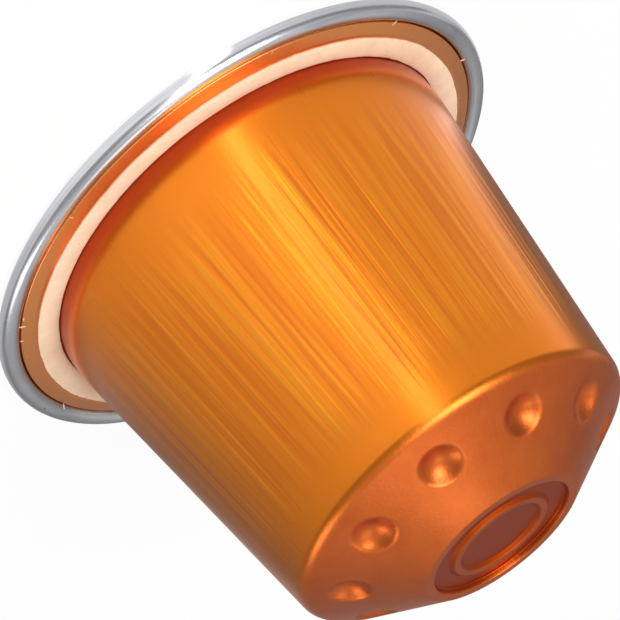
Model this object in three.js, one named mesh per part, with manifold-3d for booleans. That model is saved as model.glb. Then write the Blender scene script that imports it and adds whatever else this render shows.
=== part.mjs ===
// Coffee pod: a deep-drawn aluminium cup with a rolled rim, a sealing ring round the foot of its
// wall, and a foil lid. It stands on its rim, lid down and nose up. Millimetres, +Z up,
// origin at the centre of the circle that the rim stands on.

import * as THREE from "three";
import { mergeVertices } from "three/addons/utils/BufferGeometryUtils.js";
import Module from "manifold-3d";

// Cup.
const rimRadius = 18.5;
const totalHeight = 28.2;
const sheet = 0.15;
const facetsRound = 60;

// Flange and rolled rim: past the seal the flange slopes down, then turns steeply under and curls
// back over the top until its cut edge hangs beside the slope.
const flangeLift = 1.0;
const flangeEdgeDrop = 0.18;
const creviceGap = 0.14;
const curlWidth = 1.3;
const curlHeight = 1.25;
const curlFillet = 0.58;
const curlOverhang = 0.62;
const curlSteps = 3;

// Wall, from its foot on the flange to the shoulder. The flange's width sets where the foot stands.
const flangeWidth = 4;
const wallFootRadius = rimRadius - flangeWidth;
const footBandHeight = 2.4;
const footBandTaper = 0.08;
const footBandFillet = 6;
const wallTaper = 2.57;
const shoulderRadius = wallFootRadius - wallTaper;
const noseRise = 3.85;
const shoulderHeight = totalHeight - noseRise;
const shoulderFillet = 1.1;
const wallSteps = 3;

// Nose cone, and the panel sunk into its end with one plain raised ring.
const noseRun = 6.31;
const noseRimRadius = shoulderRadius - noseRun;
const noseRimFillet = 0.35;
const noseRimWidth = 0.62;
const panelRadius = noseRimRadius - noseRimWidth;
const panelDepth = 0.35;
const ringInset = 1.8;
const ringRadius = panelRadius - ringInset;
const ringWidth = 1.0;
const ringHeight = 0.25;

// Dimples pressed into the nose cone.
const dimpleCount = 10;
const dimpleMouthRadius = 1.1;
const dimpleDepth = 0.6;
const dimpleLip = 0.22;
const dimpleLipDepth = 0.07;
const dimpleInset = 2.48;
const dimpleSpacingRadius = shoulderRadius - dimpleInset;
const dimpleFacets = 14;
const dimpleSteps = 3;

// Sealing ring on the flange, a clearance away from the wall. The flange slopes down beyond it.
const sealClearance = 0.1;
const sealWidth = 1.52;
const sealInnerRadius = wallFootRadius + sealClearance;
const sealOuterRadius = sealInnerRadius + sealWidth;
const sealHeight = 0.22;
const sealEdgeHeight = 0.08;
const sealSteps = 6;
const slopeMargin = 0.18;
const slopeInnerRadius = sealOuterRadius + slopeMargin;

// Foil lid, sealed to the flange's underside and recessed inside the rim.
const foilThickness = 0.1;
const foilMargin = 0.1;
const foilRadius = slopeInnerRadius - foilMargin;

const orange = new THREE.MeshStandardMaterial({ color: 0xdd6f20, metalness: 0.9, roughness: 0.32 });
const cream = new THREE.MeshStandardMaterial({ color: 0xe9c7a4, metalness: 0, roughness: 0.8 });
const silver = new THREE.MeshStandardMaterial({ color: 0xc9c9c6, metalness: 1, roughness: 0.3 });

const wasm = await Module();
wasm.setup();

// Points of an outline whose corners [x, y, fillet] are rounded, each by an arc of a few steps.
function roundedOutline(corners, stepsPerFillet) {
  const points = [];
  corners.forEach(([x, y, fillet = 0], i) => {
    const corner = new THREE.Vector2(x, y);
    if (!fillet || i === 0 || i === corners.length - 1) {
      points.push(corner);
      return;
    }
    const back = new THREE.Vector2(...corners[i - 1].slice(0, 2)).sub(corner).normalize();
    const ahead = new THREE.Vector2(...corners[i + 1].slice(0, 2)).sub(corner).normalize();
    const halfAngle = Math.acos(THREE.MathUtils.clamp(back.dot(ahead), -1, 1)) / 2;
    const middle = back.clone().add(ahead).normalize();
    const centre = corner.clone().addScaledVector(middle, fillet / Math.sin(halfAngle));
    const start = corner.clone().addScaledVector(back, fillet / Math.tan(halfAngle)).sub(centre);
    const end = corner.clone().addScaledVector(ahead, fillet / Math.tan(halfAngle)).sub(centre);
    const turn = Math.atan2(start.cross(end), start.dot(end));
    for (let k = 0; k <= stepsPerFillet; k += 1) {
      const arm = start.clone().rotateAround(new THREE.Vector2(), (turn * k) / stepsPerFillet);
      points.push(centre.clone().add(arm));
    }
  });
  return points;
}

// A closed solid turned about +Z from a profile of (radius, height) points.
function turned(profile, segments) {
  const geometry = new THREE.LatheGeometry(profile, segments).rotateX(Math.PI / 2);
  geometry.deleteAttribute("normal");
  geometry.deleteAttribute("uv");
  const merged = mergeVertices(geometry, 1e-4);
  return new wasm.Manifold(
    new wasm.Mesh({
      numProp: 3,
      vertProperties: merged.attributes.position.array,
      triVerts: new Uint32Array(merged.index.array),
    }),
  );
}

// Section of the flange and its curl: out along the underside, round the curl, back on the top.
function rimSection() {
  const curlInner = rimRadius - curlWidth;
  const edgeRadius = curlInner - creviceGap - sheet / 2;
  const outside = [
    [0, flangeLift],
    [slopeInnerRadius, flangeLift],
    [edgeRadius - sheet, flangeLift - flangeEdgeDrop],
    [edgeRadius, 0, curlFillet / 2],
    [rimRadius, 0, curlFillet],
    [rimRadius, curlHeight, curlFillet],
    [curlInner, curlHeight, curlFillet],
    [curlInner, curlHeight - curlOverhang],
  ];
  const inside = [
    [curlInner + sheet, curlHeight - curlOverhang],
    [curlInner + sheet, curlHeight - sheet, curlFillet - sheet],
    [rimRadius - sheet, curlHeight - sheet, curlFillet - sheet],
    [rimRadius - sheet, sheet, curlFillet - sheet],
    [edgeRadius + sheet, sheet, curlFillet / 4],
    [edgeRadius + sheet / 2, flangeLift + sheet - flangeEdgeDrop],
    [slopeInnerRadius, flangeLift + sheet],
    [sealOuterRadius, flangeLift + sheet],
  ];
  return roundedOutline([...outside, ...inside], curlSteps).slice(0, -1);
}

// Outside of the wall, the nose and its sunk panel, from the flange's top to the axis.
function wallSection() {
  const flangeTop = flangeLift + sheet;
  const panelHeight = totalHeight - panelDepth;
  const outline = [
    [wallFootRadius, flangeTop],
    [wallFootRadius - footBandTaper, flangeTop + footBandHeight, footBandFillet],
    [shoulderRadius, shoulderHeight, shoulderFillet],
    [noseRimRadius, totalHeight, noseRimFillet],
    [panelRadius, totalHeight],
    [panelRadius - panelDepth / 3, panelHeight],
    [ringRadius + ringWidth / 2, panelHeight],
    [ringRadius + ringWidth / 5, panelHeight + ringHeight],
    [ringRadius - ringWidth / 5, panelHeight + ringHeight],
    [ringRadius - ringWidth / 2, panelHeight],
    [0, panelHeight],
  ];
  return roundedOutline(outline, wallSteps);
}

// One dimple's cutter: a bowl below z = 0, opening into a flared lip and carried on above it.
function dimpleCutter() {
  const bowlDepth = dimpleDepth - dimpleLipDepth;
  const bowlRadius = (dimpleMouthRadius ** 2 + bowlDepth ** 2) / (2 * bowlDepth);
  const bowlAngle = Math.asin(dimpleMouthRadius / bowlRadius);
  const profile = [];
  for (let k = 0; k <= dimpleSteps; k += 1) {
    const angle = (bowlAngle * k) / dimpleSteps;
    const height = bowlRadius * (1 - Math.cos(angle)) - dimpleDepth;
    profile.push(new THREE.Vector2(bowlRadius * Math.sin(angle), height));
  }
  profile.push(new THREE.Vector2(dimpleMouthRadius + dimpleLip, 0));
  profile.push(new THREE.Vector2(dimpleMouthRadius + dimpleLip * 3, dimpleDepth));
  profile.push(new THREE.Vector2(0, dimpleDepth));
  return turned(profile, dimpleFacets);
}

// Every dimple's cutter, set square to the nose cone and spaced round the axis.
function dimpleCutters() {
  const rise = totalHeight - shoulderHeight;
  const run = shoulderRadius - noseRimRadius;
  const slope = rise / run;
  const height = shoulderHeight + (shoulderRadius - dimpleSpacingRadius) * slope;
  const tilt = THREE.MathUtils.radToDeg(Math.atan(slope));
  const one = dimpleCutter().rotate([0, tilt, 0]).translate([dimpleSpacingRadius, 0, height]);
  const all = [];
  for (let k = 0; k < dimpleCount; k += 1) all.push(one.rotate([0, 0, (360 * k) / dimpleCount]));
  return all;
}

// The cup with its contents: sealed, so one solid from the lid to the nose.
function podBody() {
  const cup = turned([...rimSection(), ...wallSection()], facetsRound);
  return dimpleCutters().reduce((solid, cutter) => solid.subtract(cutter), cup);
}

// Sealing ring: a low crowned band laid on the flange round the wall.
function sealingRing() {
  const base = flangeLift + sheet;
  const profile = [
    new THREE.Vector2(sealInnerRadius, base),
    new THREE.Vector2(sealOuterRadius, base),
  ];
  for (let k = 0; k <= sealSteps; k += 1) {
    const share = k / sealSteps;
    const radius = THREE.MathUtils.lerp(sealOuterRadius, sealInnerRadius, share);
    const crown = (sealHeight - sealEdgeHeight) * Math.sin(Math.PI * share);
    profile.push(new THREE.Vector2(radius, base + sealEdgeHeight + crown));
  }
  profile.push(profile[0].clone());
  return turned(profile, facetsRound);
}

// Foil lid: a thin disc against the flange's underside.
function foilLid() {
  const lowered = flangeLift - foilThickness;
  const profile = [[0, lowered], [foilRadius, lowered], [foilRadius, flangeLift], [0, flangeLift]];
  return turned(profile.map(([r, z]) => new THREE.Vector2(r, z)), facetsRound);
}

// A mesh for three.js from a solid.
function meshOf(solid, name, material) {
  const { vertProperties, triVerts } = solid.getMesh();
  const geometry = new THREE.BufferGeometry();
  geometry.setAttribute("position", new THREE.BufferAttribute(vertProperties, 3));
  geometry.setIndex(new THREE.BufferAttribute(triVerts, 1));
  geometry.computeVertexNormals();
  const mesh = new THREE.Mesh(geometry, material);
  mesh.name = name;
  return mesh;
}

const pod = new THREE.Group();
pod.add(meshOf(podBody(), "cup_body", orange));
pod.add(meshOf(sealingRing(), "sealing_ring", cream));
pod.add(meshOf(foilLid(), "foil_lid", silver));

export default pod;
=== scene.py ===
import math
import random

import bpy
import numpy as np
from mathutils import Matrix, Vector, noise


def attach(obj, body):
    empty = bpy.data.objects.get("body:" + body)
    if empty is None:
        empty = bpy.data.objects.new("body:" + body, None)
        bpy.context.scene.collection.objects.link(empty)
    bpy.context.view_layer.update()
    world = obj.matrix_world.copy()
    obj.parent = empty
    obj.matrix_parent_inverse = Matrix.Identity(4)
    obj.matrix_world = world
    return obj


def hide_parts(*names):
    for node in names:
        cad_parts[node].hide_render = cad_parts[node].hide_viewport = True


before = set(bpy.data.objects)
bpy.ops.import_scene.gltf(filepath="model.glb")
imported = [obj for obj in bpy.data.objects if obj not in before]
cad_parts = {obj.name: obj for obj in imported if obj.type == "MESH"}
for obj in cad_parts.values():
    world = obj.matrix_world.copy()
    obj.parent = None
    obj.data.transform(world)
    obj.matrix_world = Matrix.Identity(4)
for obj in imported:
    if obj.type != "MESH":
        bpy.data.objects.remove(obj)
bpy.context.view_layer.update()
mm = 0.001


def srgb(red, green, blue):
    def linear(value):
        value /= 255
        return value / 12.92 if value <= 0.04045 else ((value + 0.055) / 1.055) ** 2.4
    return (linear(red), linear(green), linear(blue), 1.0)


def deselectAll():
    if bpy.context.mode != "OBJECT":
        bpy.ops.object.mode_set(mode="OBJECT")
    bpy.ops.object.select_all(action="DESELECT")


def roundedOutline(corners, steps):
    # corners are (radius, height, fillet); each fillet becomes an arc of so many steps
    points = []
    for i, (x, y, fillet) in enumerate(corners):
        corner = Vector((x, y))
        if not fillet or i in (0, len(corners) - 1):
            points.append(corner)
            continue
        back = (Vector(corners[i - 1][:2]) - corner).normalized()
        ahead = (Vector(corners[i + 1][:2]) - corner).normalized()
        half = math.acos(max(-1, min(1, back.dot(ahead)))) / 2
        centre = corner + (back + ahead).normalized() * (fillet / math.sin(half))
        start = corner + back * (fillet / math.tan(half)) - centre
        end = corner + ahead * (fillet / math.tan(half)) - centre
        sweep = math.atan2(start.x * end.y - start.y * end.x, start.dot(end))
        for k in range(steps + 1):
            c, s = math.cos(sweep * k / steps), math.sin(sweep * k / steps)
            points.append(centre + Vector((start.x * c - start.y * s, start.x * s + start.y * c)))
    return points


def finerRuns(points, longest):
    # splits each straight run so that no edge is longer than longest(radius, height)
    finer = [points[0]]
    for a, b in zip(points, points[1:]):
        middle = (a + b) / 2
        parts = max(1, math.ceil((b - a).length / longest(middle.x, middle.y)))
        finer += [a.lerp(b, k / parts) for k in range(1, parts + 1)]
    return finer


def spinOutline(name, points, steps):
    # one vertex is extruded along the outline, then spun a full turn about Z; points are in mm
    deselectAll()
    bpy.ops.mesh.primitive_plane_add(size=mm, location=(0, 0, 0))
    piece = bpy.context.object
    piece.name = piece.data.name = name
    bpy.ops.object.mode_set(mode="EDIT")
    bpy.ops.mesh.select_mode(type="VERT")
    bpy.ops.mesh.select_all(action="SELECT")
    bpy.ops.mesh.merge(type="CENTER")
    bpy.ops.transform.translate(value=(points[0].x * mm, 0, points[0].y * mm))
    for a, b in zip(points, points[1:]):
        step = ((b.x - a.x) * mm, 0, (b.y - a.y) * mm)
        bpy.ops.mesh.extrude_region_move(TRANSFORM_OT_translate={"value": step})
    bpy.ops.mesh.select_all(action="SELECT")
    bpy.ops.mesh.spin(steps=steps, angle=2 * math.pi, center=(0, 0, 0), axis=(0, 0, 1))
    bpy.ops.mesh.select_all(action="SELECT")
    bpy.ops.mesh.remove_doubles(threshold=0.002 * mm)
    bpy.ops.mesh.normals_make_consistent(inside=False)
    bpy.ops.object.mode_set(mode="OBJECT")
    return piece


def meshPoints(piece):
    points = np.zeros(len(piece.data.vertices) * 3)
    piece.data.vertices.foreach_get("co", points)
    return points.reshape(-1, 3)


def setMeshPoints(piece, points):
    piece.data.vertices.foreach_set("co", points.ravel())
    piece.data.update()


def shadeByAngle(piece, degrees):
    deselectAll()
    piece.select_set(True)
    bpy.context.view_layer.objects.active = piece
    bpy.ops.object.shade_smooth_by_angle(angle=math.radians(degrees))


def newGroup(name, inputs, outputs):
    group = bpy.data.node_groups.new(name, "ShaderNodeTree")
    for label, value in inputs:
        socket = group.interface.new_socket(
            name=label, in_out="INPUT", socket_type="NodeSocketFloat")
        socket.default_value = value
    for label in outputs:
        group.interface.new_socket(name=label, in_out="OUTPUT", socket_type="NodeSocketFloat")
    return group, group.nodes.new("NodeGroupInput"), group.nodes.new("NodeGroupOutput")


def addNode(tree, kind, **sockets):
    node = tree.nodes.new(kind)
    for key, value in sockets.items():
        node.inputs[key].default_value = value
    return node


def mathNode(tree, operation, *values):
    node = tree.nodes.new("ShaderNodeMath")
    node.operation = operation
    for slot, value in enumerate(values):
        if isinstance(value, bpy.types.NodeSocket):
            tree.links.new(value, node.inputs[slot])
        else:
            node.inputs[slot].default_value = value
    return node.outputs[0]


def rampNode(tree, factor, stops):
    # a stop is its position and a colour, or its position and a grey level
    ramp = tree.nodes.new("ShaderNodeValToRGB")
    while len(ramp.color_ramp.elements) < len(stops):
        ramp.color_ramp.elements.new(0.5)
    for element, (position, shade) in zip(ramp.color_ramp.elements, stops):
        element.position = position
        element.color = (shade, shade, shade, 1) if isinstance(shade, (int, float)) else shade
    tree.links.new(factor, ramp.inputs[0])
    return ramp.outputs[0]


def smoothStep(tree, value, low, high):
    # 0 at low and 1 at high, which may lie either way round
    node = tree.nodes.new("ShaderNodeMapRange")
    node.interpolation_type = "SMOOTHSTEP"
    tree.links.new(value, node.inputs["Value"])
    node.inputs["From Min"].default_value = low
    node.inputs["From Max"].default_value = high
    return node.outputs["Result"]


def drawMarksGroup():
    # marks that drawing leaves along the pod: noise on the direction from the axis, stretched
    group, given, out = newGroup(
        "drawMarks",
        [("Around", 40), ("Along", 60), ("Detail", 3)],
        ["Height", "Radius", "Level"],
    )
    place = addNode(group, "ShaderNodeTexCoord")
    parts = addNode(group, "ShaderNodeSeparateXYZ")
    group.links.new(place.outputs["Object"], parts.inputs[0])
    x, y, z = parts.outputs
    squares = mathNode(group, "MULTIPLY_ADD", x, x, mathNode(group, "MULTIPLY", y, y))
    radius = mathNode(group, "SQRT", squares)
    safe = mathNode(group, "MAXIMUM", radius, 1e-5)
    join = addNode(group, "ShaderNodeCombineXYZ")
    for slot, part in enumerate((x, y)):
        unit = mathNode(group, "DIVIDE", part, safe)
        turned = mathNode(group, "MULTIPLY", unit, given.outputs["Around"])
        group.links.new(turned, join.inputs[slot])
    group.links.new(mathNode(group, "MULTIPLY", z, given.outputs["Along"]), join.inputs[2])
    grain = addNode(group, "ShaderNodeTexNoise", Scale=1.0, Roughness=0.5, Distortion=0.35)
    group.links.new(join.outputs[0], grain.inputs["Vector"])
    group.links.new(given.outputs["Detail"], grain.inputs["Detail"])
    group.links.new(grain.outputs["Fac"], out.inputs["Height"])
    group.links.new(radius, out.inputs["Radius"])
    group.links.new(z, out.inputs["Level"])
    return group


def specksGroup():
    # scattered small spots, 1 in a spot and 0 outside, and a soft mottle
    group, given, out = newGroup(
        "specks", [("Scale", 900), ("Amount", 0.1)], ["Spots", "Mottle"])
    place = addNode(group, "ShaderNodeTexCoord")
    cells = addNode(group, "ShaderNodeTexVoronoi")
    group.links.new(place.outputs["Object"], cells.inputs["Vector"])
    group.links.new(given.outputs["Scale"], cells.inputs["Scale"])
    pick = addNode(group, "ShaderNodeSeparateColor")
    group.links.new(cells.outputs["Color"], pick.inputs[0])
    chosen = mathNode(group, "LESS_THAN", pick.outputs[0], given.outputs["Amount"])
    reach = mathNode(group, "MULTIPLY", pick.outputs[1], 0.3)
    near = mathNode(group, "LESS_THAN", cells.outputs["Distance"], reach)
    group.links.new(mathNode(group, "MULTIPLY", chosen, near), out.inputs["Spots"])
    cloud = addNode(group, "ShaderNodeTexNoise", Scale=420.0, Detail=4.0, Roughness=0.6)
    group.links.new(place.outputs["Object"], cloud.inputs["Vector"])
    group.links.new(cloud.outputs["Fac"], out.inputs["Mottle"])
    return group


drawMarks = drawMarksGroup()
specks = specksGroup()


def newMaterial(name):
    material = bpy.data.materials.new(name)
    material.use_nodes = True
    shader = material.node_tree.nodes["Principled BSDF"]
    return material, material.node_tree, shader


def placeGroup(tree, group, **values):
    node = tree.nodes.new("ShaderNodeGroup")
    node.node_tree = group
    for key, value in values.items():
        node.inputs[key].default_value = value
    return node


def mixColours(tree, factor, first, second):
    node = tree.nodes.new("ShaderNodeMix")
    node.data_type = "RGBA"
    for slot, value in ((0, factor), (6, first), (7, second)):
        if isinstance(value, bpy.types.NodeSocket):
            tree.links.new(value, node.inputs[slot])
        else:
            node.inputs[slot].default_value = value
    return node.outputs[2]


def bumpNode(tree, height, distance, strength=1.0, after=None):
    bump = tree.nodes.new("ShaderNodeBump")
    bump.inputs["Strength"].default_value = strength
    bump.inputs["Distance"].default_value = distance
    tree.links.new(height, bump.inputs["Height"])
    if after is not None:
        tree.links.new(after, bump.inputs["Normal"])
    return bump.outputs[0]


def finishSurface(tree, shader, colour, roughness, normal):
    tree.links.new(colour, shader.inputs["Base Color"])
    tree.links.new(roughness, shader.inputs["Roughness"])
    tree.links.new(normal, shader.inputs["Normal"])


# depths in metres; the grain is a share of the fine marks' depth
lacquerFinish = {
    "wall": srgb(240, 130, 16), "wallPale": srgb(254, 160, 34), "wallDeep": srgb(220, 104, 10),
    "paleShare": 0.6, "deepShare": 0.5,
    # foot: painted shade, a darker red band at the wall's foot standing in for its dark reflection
    "foot": srgb(184, 72, 22), "nose": srgb(218, 110, 50), "noseDeep": srgb(188, 86, 32),
    # flange: the orange lacquer paled with painted light, as if the flat flange were brightly lit
    # panel: painted shade darkening the sunken nose panel
    "panel": srgb(170, 64, 6), "flange": srgb(236, 148, 80),
    "fleck": srgb(252, 214, 180), "fleckShare": 0.6,
    "metallic": 0.96, "roughness": 0.24, "streakRoughness": 0.1, "noseRoughness": 0.08,
    "wallCoat": 0.3, "noseCoat": 0.04, "coatRoughness": 0.2,
    "coarseMarks": {"Around": 25.0, "Along": 60.0, "Detail": 1.5}, "coarseDepth": 0.00009,
    "fineMarks": {"Around": 56.0, "Along": 75.0, "Detail": 3.0}, "fineDepth": 0.000026,
    "grain": 0.18, "noseGrain": 0.3, "grainScale": 5200.0,
    "flecks": {"Scale": 3200.0, "Amount": 0.05},
}

# heights and radii in metres between which each zone fades in
lacquerZones = {
    "wallBottom": (0.0035, 0.0085), "wallTop": (0.0232, 0.0195),
    "noseLevel": (0.0238, 0.0247),
    "panelLevel": (0.02816, 0.02800), "panelRadius": (0.00515, 0.0050),
    "footLevel": (0.0029, 0.0018), "footRadius": (0.0149, 0.0147),
    "flangeLevel": (0.0018, 0.0013), "flangeRadius": (0.0147, 0.0149),
}


def orangeLacquer():
    look = lacquerFinish
    material, tree, shader = newMaterial("orangeLacquer")
    coarse = placeGroup(tree, drawMarks, **look["coarseMarks"])
    fine = placeGroup(tree, drawMarks, **look["fineMarks"])
    mottle = placeGroup(tree, specks, **look["flecks"])
    level, radius = coarse.outputs["Level"], coarse.outputs["Radius"]

    def within(value, zone):
        return smoothStep(tree, value, *lacquerZones[zone])

    def both(first, second):
        return mathNode(tree, "MULTIPLY", first, second)

    # streaks show between the smooth foot and the smooth shoulder
    onWall = both(within(level, "wallBottom"), within(level, "wallTop"))
    onNose = within(level, "noseLevel")
    inShadedPanel = both(within(level, "panelLevel"), within(radius, "panelRadius"))
    onFootShade = both(within(level, "footLevel"), within(radius, "footRadius"))
    onFlange = both(within(level, "flangeLevel"), within(radius, "flangeRadius"))
    pale = rampNode(tree, fine.outputs["Height"], [(0.4, 0), (0.64, 1)])
    deep = rampNode(tree, coarse.outputs["Height"], [(0.34, 1), (0.52, 0)])
    palePart = both(pale, both(onWall, look["paleShare"]))
    deepPart = both(deep, both(onWall, look["deepShare"]))
    wall = mixColours(tree, palePart, look["wall"], look["wallPale"])
    wall = mixColours(tree, deepPart, wall, look["wallDeep"])
    # painted shade: the band at the wall's foot is darkened
    wall = mixColours(tree, onFootShade, wall, look["foot"])
    nose = mixColours(tree, mottle.outputs["Mottle"], look["noseDeep"], look["nose"])
    # painted shade: the sunken panel is darkened
    nose = mixColours(tree, inShadedPanel, nose, look["panel"])
    colour = mixColours(tree, onNose, wall, nose)
    # painted light: the flange is coloured paler as if brightly lit
    colour = mixColours(tree, onFlange, colour, look["flange"])
    flecks = both(mottle.outputs["Spots"], both(onFlange, look["fleckShare"]))
    colour = mixColours(tree, flecks, colour, look["fleck"])

    streaks = fine.outputs["Height"]
    rough = mathNode(tree, "MULTIPLY_ADD", streaks, look["streakRoughness"], look["roughness"])
    rough = mathNode(tree, "MULTIPLY_ADD", onNose, look["noseRoughness"], rough)
    shader.inputs["Metallic"].default_value = look["metallic"]
    coatChange = look["noseCoat"] - look["wallCoat"]
    coat = mathNode(tree, "MULTIPLY_ADD", onNose, coatChange, look["wallCoat"])
    tree.links.new(coat, shader.inputs["Coat Weight"])
    shader.inputs["Coat Roughness"].default_value = look["coatRoughness"]

    coarseBump = bumpNode(tree, both(coarse.outputs["Height"], onWall), look["coarseDepth"])
    sand = addNode(tree, "ShaderNodeTexNoise", Scale=look["grainScale"], Detail=2.0)
    place = addNode(tree, "ShaderNodeTexCoord")
    tree.links.new(place.outputs["Object"], sand.inputs["Vector"])
    grain = mathNode(tree, "MULTIPLY_ADD", onNose, look["noseGrain"], look["grain"])
    thin = mathNode(tree, "MULTIPLY_ADD", sand.outputs["Fac"], grain, both(streaks, onWall))
    normal = bumpNode(tree, thin, look["fineDepth"], after=coarseBump)
    finishSurface(tree, shader, colour, rough, normal)
    return material


def bareAluminium():
    material, tree, shader = newMaterial("bareAluminium")
    marks = placeGroup(tree, drawMarks, Around=3.0, Along=9000.0, Detail=4.0)
    spots = placeGroup(tree, specks, Scale=3000.0, Amount=0.01)
    height = marks.outputs["Height"]
    tone = rampNode(tree, height, [(0.3, srgb(188, 189, 193)), (0.7, srgb(218, 218, 221))])
    colour = mixColours(tree, spots.outputs["Spots"], tone, srgb(150, 120, 96))
    shader.inputs["Metallic"].default_value = 1.0
    rough = mathNode(tree, "MULTIPLY_ADD", height, 0.12, 0.2)
    finishSurface(tree, shader, colour, rough, bumpNode(tree, height, 0.00001))
    return material


def creamCompound():
    material, tree, shader = newMaterial("creamCompound")
    grain = placeGroup(tree, specks, Scale=5200.0, Amount=0.07)
    mottle = grain.outputs["Mottle"]
    tone = rampNode(tree, mottle, [(0.35, srgb(234, 202, 168)), (0.65, srgb(247, 219, 188))])
    faint = mathNode(tree, "MULTIPLY", grain.outputs["Spots"], 0.5)
    colour = mixColours(tree, faint, tone, srgb(170, 116, 74))
    rough = mathNode(tree, "MULTIPLY_ADD", mottle, 0.2, 0.6)
    finishSurface(tree, shader, colour, rough, bumpNode(tree, mottle, 0.00008))
    return material


def lidFoilMetal():
    material, tree, shader = newMaterial("lidFoilMetal")
    place = addNode(tree, "ShaderNodeTexCoord")
    crinkle = addNode(tree, "ShaderNodeTexNoise", Scale=330.0, Detail=3.0, Distortion=0.6)
    tree.links.new(place.outputs["Object"], crinkle.inputs["Vector"])
    mottle = placeGroup(tree, specks, Scale=2400.0, Amount=0.05).outputs["Mottle"]
    tone = rampNode(tree, mottle, [(0.3, srgb(188, 188, 190)), (0.7, srgb(214, 214, 214))])
    shader.inputs["Metallic"].default_value = 1.0
    rough = mathNode(tree, "MULTIPLY_ADD", mottle, 0.12, 0.3)
    finishSurface(tree, shader, tone, rough, bumpNode(tree, crinkle.outputs["Fac"], 0.00025, 0.6))
    return material


def paleLacquer():
    material, tree, shader = newMaterial("paleLacquer")
    mottle = placeGroup(tree, specks, Scale=6000.0, Amount=0.2).outputs["Mottle"]
    tone = rampNode(tree, mottle, [(0.35, srgb(238, 178, 138)), (0.65, srgb(252, 226, 204))])
    tree.links.new(tone, shader.inputs["Base Color"])
    shader.inputs["Roughness"].default_value = 0.4
    tree.links.new(bumpNode(tree, mottle, 0.00003), shader.inputs["Normal"])
    return material


orange = orangeLacquer()
flakeLacquer = paleLacquer()
bare = bareAluminium()
cream = creamCompound()
foilMetal = lidFoilMetal()
print("materials ready")


# the cup's wall, nose, flange and rolled rim are one sheet, closed under the lid; sizes in mm
cup = {
    "rimRadius": 18.5, "height": 28.2, "sheet": 0.15,
    "flangeLift": 1.0, "flangeEdgeDrop": 0.18, "slopeInner": 16.3, "slopeFillet": 0.3,
    "creviceGap": 0.06,
    "curlWidth": 1.3, "curlHeight": 1.25, "curlFillet": 0.6, "curlOverhang": 0.62,
    "footRadius": 14.5, "footFillet": 0.1, "bandHeight": 1.5, "bandTaper": 0.02, "bandFillet": 6.0,
    "shoulderRadius": 11.93, "shoulderHeight": 24.35, "shoulderFillet": 1.0,
    "noseRim": 5.62, "noseRimFillet": 0.35,
    "panelRadius": 5.0, "panelDepth": 0.35, "panelEdgeFillet": 0.06, "panelFloorFillet": 0.08,
    "ringRadius": 3.2, "ringWidth": 1.0, "ringHeight": 0.25, "ringFoot": 0.1, "ringCrown": 0.12,
    "dimples": 10, "dimpleSpacing": 9.45, "dimpleReach": 1.38, "dimpleDepth": 0.6,
    "dimpleBowl": 1.04, "dimpleRange": 0.8,
    "around": 340, "noseEdge": 0.15, "rimEdge": 1.0, "wallEdge": 0.9,
}


def cupOutline(s):
    rim, t, tall = s["rimRadius"], s["sheet"], s["curlHeight"]
    inner = rim - s["curlWidth"]
    edge = inner - s["creviceGap"] - t / 2
    under, top = s["flangeLift"], s["flangeLift"] + t
    curl = s["curlFillet"]
    bareSide = [
        (0, under, 0), (s["slopeInner"], under, s["slopeFillet"]),
        (edge - t, under - s["flangeEdgeDrop"], 0.1), (edge, 0, curl / 2),
        (rim, 0, curl), (rim, tall, curl), (inner, tall, curl),
        (inner, tall - s["curlOverhang"], 0),
    ]
    noseTop, floor = s["height"], s["height"] - s["panelDepth"]
    ring, half, crest = s["ringRadius"], s["ringWidth"] / 2, s["ringWidth"] / 5
    lacqueredSide = [
        (inner + t, tall - s["curlOverhang"], 0), (inner + t, tall - t, curl - t),
        (rim - t, tall - t, curl - t), (rim - t, t, curl - t), (edge + t, t, curl / 4),
        (edge + t / 2, top - s["flangeEdgeDrop"], 0.09), (s["slopeInner"], top, s["slopeFillet"]),
        (s["footRadius"], top, s["footFillet"]),
        (s["footRadius"] - s["bandTaper"], top + s["bandHeight"], s["bandFillet"]),
        (s["shoulderRadius"], s["shoulderHeight"], s["shoulderFillet"]),
        (s["noseRim"], noseTop, s["noseRimFillet"]),
        (s["panelRadius"], noseTop, s["panelEdgeFillet"]),
        (s["panelRadius"] - s["panelDepth"] / 3, floor, s["panelFloorFillet"]),
        (ring + half, floor, s["ringFoot"]), (ring + crest, floor + s["ringHeight"], s["ringCrown"]),
        (ring - crest, floor + s["ringHeight"], s["ringCrown"]), (ring - half, floor, s["ringFoot"]),
        (0, floor, 0),
    ]
    cutEdge = Vector(bareSide[-1][:2])
    points = roundedOutline(bareSide + lacqueredSide, 8)
    cut = min(range(len(points)), key=lambda k: (points[k] - cutEdge).length)

    def longest(radius, height):
        if height > s["shoulderHeight"] - 0.2 and radius > s["noseRim"]:
            return s["noseEdge"]  # fine where the dimples go
        return s["rimEdge"] if height < 2 else s["wallEdge"]

    fineBare = finerRuns(points[: cut + 1], longest)
    fineLacquered = finerRuns(points[cut:], longest)
    return fineBare + fineLacquered[1:], len(fineBare) - 1


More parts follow.
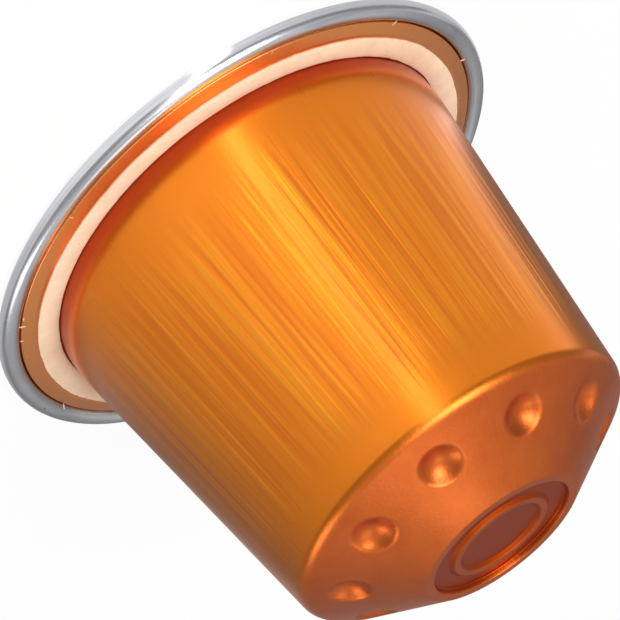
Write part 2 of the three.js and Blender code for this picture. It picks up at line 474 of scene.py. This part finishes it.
def pressDimples(piece, s):
    points = meshPoints(piece)
    slope = math.atan2(s["height"] - s["shoulderHeight"], s["shoulderRadius"] - s["noseRim"])
    level = s["shoulderHeight"] + (s["shoulderRadius"] - s["dimpleSpacing"]) * math.tan(slope)
    for k in range(s["dimples"]):
        angle = 2 * math.pi * k / s["dimples"]
        out = np.array([math.cos(angle), math.sin(angle), 0])
        centre = out * s["dimpleSpacing"] * mm + np.array([0, 0, level * mm])
        normal = out * math.sin(slope) + np.array([0, 0, math.cos(slope)])
        offset = points - centre
        high = offset @ normal
        across = np.linalg.norm(offset - high[:, None] * normal, axis=1)
        share = across / (s["dimpleReach"] * mm)
        close = np.abs(high) < s["dimpleRange"] * mm
        inside = (share < 1) & close & (points[:, 2] > s["shoulderHeight"] * mm)
        depth = s["dimpleDepth"] * mm * (1 - share[inside] ** 2) ** s["dimpleBowl"]
        points[inside] -= depth[:, None] * normal
    setMeshPoints(piece, points)


def makeCupShell(s):
    outline, cut = cupOutline(s)
    shell = spinOutline("cupShell", outline, s["around"])
    points = meshPoints(shell) / mm
    radii, levels = np.hypot(points[:, 0], points[:, 1]), points[:, 2]
    line = np.array([(p.x, p.y) for p in outline])
    # each vertex's place along the outline tells the bare rim from the lacquered rest
    rank = [int(np.argmin((line[:, 0] - r) ** 2 + (line[:, 1] - z) ** 2))
            for r, z in zip(radii, levels)]
    shell.data.materials.append(orange)
    shell.data.materials.append(bare)
    for face in shell.data.polygons:
        face.material_index = 1 if max(rank[v] for v in face.vertices) <= cut + 1 else 0
    pressDimples(shell, s)
    shadeByAngle(shell, 40)
    return shell


cupShell = makeCupShell(cup)
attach(cupShell, "root")
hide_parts("cup_body")
print("cup shell", len(cupShell.data.polygons), "faces")


# the sealing ring's edges wander slightly; sizes in mm
seal = {
    "inner": 14.54, "outer": 16.12, "base": 1.15, "edge": 0.08, "crown": 0.14,
    "clearance": 0.002, "wander": 0.09, "innerSway": 5, "outerSway": 7, "ripple": 31,
    "around": 360, "across": 12,
}


def makeSealBead(s):
    base = s["base"] + s["clearance"]
    points = [Vector((s["inner"], base)), Vector((s["outer"], base))]
    for k in range(s["across"] + 1):
        share = k / s["across"]
        radius = s["outer"] + (s["inner"] - s["outer"]) * share
        crown = s["crown"] * math.sin(math.pi * share) ** 0.7
        points.append(Vector((radius, s["base"] + s["edge"] + crown)))
    points.append(points[0].copy())
    bead = spinOutline("sealBead", points, s["around"])
    places = meshPoints(bead)
    middle = (s["inner"] + s["outer"]) / 2 * mm
    for i, (x, y, z) in enumerate(places):
        radius = math.hypot(x, y)
        unit = Vector((x / radius, y / radius, 0))
        share = (radius - middle) / (s["outer"] * mm - middle)
        if share > 0:
            slow = noise.noise(unit * s["outerSway"] + Vector((0, 0, 3)))
        else:
            slow = noise.noise(unit * s["innerSway"])
        sway = 0.5 * (1 + slow) + 0.35 * noise.noise(unit * s["ripple"])
        pull = s["wander"] * mm * max(0, min(1, sway)) * share
        places[i, :2] *= (radius - pull) / radius
    setMeshPoints(bead, places)
    bead.data.materials.append(cream)
    shadeByAngle(bead, 50)
    return bead


sealBead = makeSealBead(seal)
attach(sealBead, "root")
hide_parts("sealing_ring")
print("seal bead ready")


# the lid is pressed in slightly where it is sealed to the flange; sizes in mm
foil = {
    "radius": 16.2, "top": 1.0, "thickness": 0.1, "clearance": 0.001,
    "pressInner": 14.5, "pressOuter": 15.9, "pressDepth": 0.03, "around": 360,
}


def makeLidFoil(s):
    low, high = s["top"] - s["thickness"], s["top"] - s["clearance"]
    pressed = low + s["pressDepth"]
    outline = [
        (0, low), (s["pressInner"], low), (s["pressInner"] + 0.15, pressed),
        (s["pressOuter"], pressed), (s["pressOuter"] + 0.1, low), (s["radius"], low),
        (s["radius"], high), (0, high),
    ]
    points = finerRuns([Vector(corner) for corner in outline], lambda radius, height: 1.2)
    lid = spinOutline("lidFoil", points, s["around"])
    lid.data.materials.append(foilMetal)
    shadeByAngle(lid, 40)
    return lid


lidFoil = makeLidFoil(foil)
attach(lidFoil, "root")
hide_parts("foil_lid")
print("foil lid ready")


# slivers of lacquer left where the rim was rolled and trimmed;
# places are each one's angle in degrees, length and width, sizes in mm
flakes = {
    "radius": 17.22, "level": 1.16, "thickness": 0.03, "bow": 0.1,
    "places": [
        (347, 0.5, 0.12), (344.5, 0.28, 0.1), (27, 0.7, 0.09), (229.5, 0.4, 0.1),
        (197, 0.34, 0.12), (315, 0.36, 0.08), (352, 0.22, 0.08), (262, 0.2, 0.07)],
}


def makeLacquerFlakes(s):
    luck = random.Random(4)
    slivers = []
    for angle, length, width in s["places"]:
        deselectAll()
        bpy.ops.mesh.primitive_grid_add(
            x_subdivisions=7, y_subdivisions=3, size=1, location=(0, 0, 0))
        sliver = bpy.context.object
        points = meshPoints(sliver)
        for point in points:
            taper = 1 - 0.7 * abs(point[0] * 2) ** 2 + luck.uniform(-0.15, 0.15)
            lift = luck.uniform(0, 0.02) * mm
            point[:] = (point[0] * length * mm, point[1] * width * taper * mm, lift)
            point[1] += s["bow"] * mm * math.sin(point[0] / (length * mm) * 2.6)
        around = math.radians(angle)
        twist = math.radians(luck.uniform(40, 140))
        lie = Matrix.Rotation(around, 3, "Z") @ Matrix.Rotation(twist, 3, "Z")
        out = np.array([math.cos(around), math.sin(around), 0])
        spot = out * s["radius"] * mm + np.array([0, 0, s["level"] * mm])
        setMeshPoints(sliver, points @ np.array(lie).T + spot)
        thick = sliver.modifiers.new("thickness", "SOLIDIFY")
        thick.thickness = s["thickness"] * mm
        bpy.ops.object.modifier_apply(modifier=thick.name)
        slivers.append(sliver)
    deselectAll()
    for sliver in slivers:
        sliver.select_set(True)
    bpy.context.view_layer.objects.active = slivers[0]
    bpy.ops.object.join()
    piece = bpy.context.object
    piece.name = piece.data.name = "lacquerFlakes"
    piece.data.materials.append(flakeLacquer)
    shadeByAngle(piece, 30)
    return piece


lacquerFlakes = makeLacquerFlakes(flakes)
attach(lacquerFlakes, "root")
print("lacquer flakes ready")


# place in metres, turn in degrees, lens and sensor in mm
cameraSetup = {
    "place": (0.0447690, -0.1450526, 0.0822330), "turn": (-58.06994, -34.12587, 177.70546),
    "lens": 155.33, "sensor": 36,
}


def makeCamera(s):
    camera = bpy.data.objects.new("photoCamera", bpy.data.cameras.new("photoCamera"))
    bpy.context.scene.collection.objects.link(camera)
    camera.location = s["place"]
    camera.rotation_euler = [math.radians(angle) for angle in s["turn"]]
    camera.data.lens = s["lens"]
    camera.data.sensor_width = s["sensor"]
    camera.data.clip_start = 0.01
    bpy.context.scene.camera = camera


def makeFloor():
    # the paper is nearly white to the camera and plain pale grey to everything else
    deselectAll()
    bpy.ops.mesh.primitive_plane_add(size=6, location=(0, 0, 0))
    floor = bpy.context.object
    floor.name = "paleFloor"
    material, tree, shader = newMaterial("palePaper")
    shader.inputs["Base Color"].default_value = (0.86, 0.86, 0.86, 1)
    shader.inputs["Roughness"].default_value = 0.9
    light = addNode(tree, "ShaderNodeEmission", Strength=1.0)
    path = addNode(tree, "ShaderNodeLightPath")
    mix = addNode(tree, "ShaderNodeMixShader")
    seen = mathNode(tree, "MULTIPLY", path.outputs["Is Camera Ray"], 0.93)
    tree.links.new(seen, mix.inputs[0])
    tree.links.new(shader.outputs[0], mix.inputs[1])
    tree.links.new(light.outputs[0], mix.inputs[2])
    tree.links.new(mix.outputs[0], tree.nodes["Material Output"].inputs["Surface"])
    floor.data.materials.append(material)


# the room's brightness from the horizon (0.5) to straight up (1.0)
roomTones = [(0.5, 0.26), (0.71, 0.37), (0.85, 0.62), (1.0, 0.72)]


def makeWorld():
    world = bpy.data.worlds.new("studioWorld")
    bpy.context.scene.world = world
    world.use_nodes = True
    tree = world.node_tree
    tree.nodes.clear()
    place = addNode(tree, "ShaderNodeTexCoord")
    parts = addNode(tree, "ShaderNodeSeparateXYZ")
    tree.links.new(place.outputs["Generated"], parts.inputs[0])
    upward = mathNode(tree, "MULTIPLY_ADD", parts.outputs[2], 0.5, 0.5)
    shade = rampNode(tree, upward, roomTones)
    path = addNode(tree, "ShaderNodeLightPath")
    colour = mixColours(tree, path.outputs["Is Camera Ray"], shade, (1, 1, 1, 1))
    background = addNode(tree, "ShaderNodeBackground", Strength=1.0)
    out = addNode(tree, "ShaderNodeOutputWorld")
    tree.links.new(colour, background.inputs["Color"])
    tree.links.new(background.outputs[0], out.inputs["Surface"])


# grey wheel that lies on the table round the pod and shows only in its reflections:
# azimuth in degrees against brightness
greyWheel = {"radius": 0.6, "tones": [
    (-180, 1.3), (-172, 0.92), (-150, 0.8), (-110, 0.82), (-91, 1.05), (-87.6, 3.3), (-85, 3.3),
    (-81, 1.15), (-60, 1.15), (-30, 0.8), (0, 0.58), (36, 0.3), (56, 0.2), (75, 0.4), (110, 0.36),
    (140, 0.2), (164, 0.18), (172, 0.5), (178, 1.2)]}


def makeGreyWheel(s):
    deselectAll()
    bpy.ops.mesh.primitive_circle_add(
        vertices=96, radius=s["radius"], fill_type="NGON", location=(0, 0, 0.1 * mm))
    wheel = bpy.context.object
    wheel.name = "greyWheel"
    material = bpy.data.materials.new("wheelCard")
    material.use_nodes = True
    tree = material.node_tree
    tree.nodes.clear()
    place = addNode(tree, "ShaderNodeTexCoord")
    parts = addNode(tree, "ShaderNodeSeparateXYZ")
    tree.links.new(place.outputs["Object"], parts.inputs[0])
    turn = mathNode(tree, "ARCTAN2", parts.outputs[1], parts.outputs[0])
    brightest = max(tone for angle, tone in s["tones"])
    tones = [((angle + 180) / 360, tone / brightest) for angle, tone in s["tones"]]
    tones.append((1, tones[0][1]))
    share = mathNode(tree, "MULTIPLY_ADD", turn, 1 / (2 * math.pi), 0.5)
    glow = addNode(tree, "ShaderNodeEmission", Strength=brightest)
    tree.links.new(rampNode(tree, share, tones), glow.inputs["Color"])
    out = addNode(tree, "ShaderNodeOutputMaterial")
    tree.links.new(glow.outputs[0], out.inputs["Surface"])
    wheel.data.materials.append(material)
    for view in ("camera", "diffuse", "shadow", "transmission", "volume_scatter"):
        setattr(wheel, "visible_" + view, False)


# azimuth and elevation in degrees, distance and size in metres, power in watts
lamps = {
    "frontStrip": {
        "azimuth": -86, "elevation": 12, "distance": 0.42, "size": (0.07, 0.26), "watts": 0.2},
    "sideStrip": {
        "azimuth": 158, "elevation": 10, "distance": 0.40, "size": (0.10, 0.26), "watts": 0.04},
    "frontSoftbox": {
        "azimuth": -104, "elevation": 48, "distance": 0.46, "size": (0.26, 0.26), "watts": 1.25},
    "leftSoftbox": {
        "azimuth": 22, "elevation": 34, "distance": 0.46, "size": (0.2, 0.2), "watts": 0.3},
    "topSoftbox": {
        "azimuth": 60, "elevation": 82, "distance": 0.50, "size": (0.2, 0.2), "watts": 0.16},
}
lampTarget = (0, 0, 0.012)


def makeLamps():
    for name, s in lamps.items():
        light = bpy.data.lights.new(name, "AREA")
        light.shape = "RECTANGLE"
        light.size, light.size_y = s["size"]
        light.energy = s["watts"]
        lamp = bpy.data.objects.new(name, light)
        bpy.context.scene.collection.objects.link(lamp)
        a, e = math.radians(s["azimuth"]), math.radians(s["elevation"])
        away = Vector((math.cos(a) * math.cos(e), math.sin(a) * math.cos(e), math.sin(e)))
        lamp.location = Vector(lampTarget) + away * s["distance"]
        lamp.rotation_euler = away.to_track_quat("Z", "Y").to_euler()
        lamp.visible_camera = False


makeCamera(cameraSetup)
makeFloor()
makeWorld()
makeGreyWheel(greyWheel)
makeLamps()
bpy.context.scene.view_settings.view_transform = "Standard"
print("studio ready")
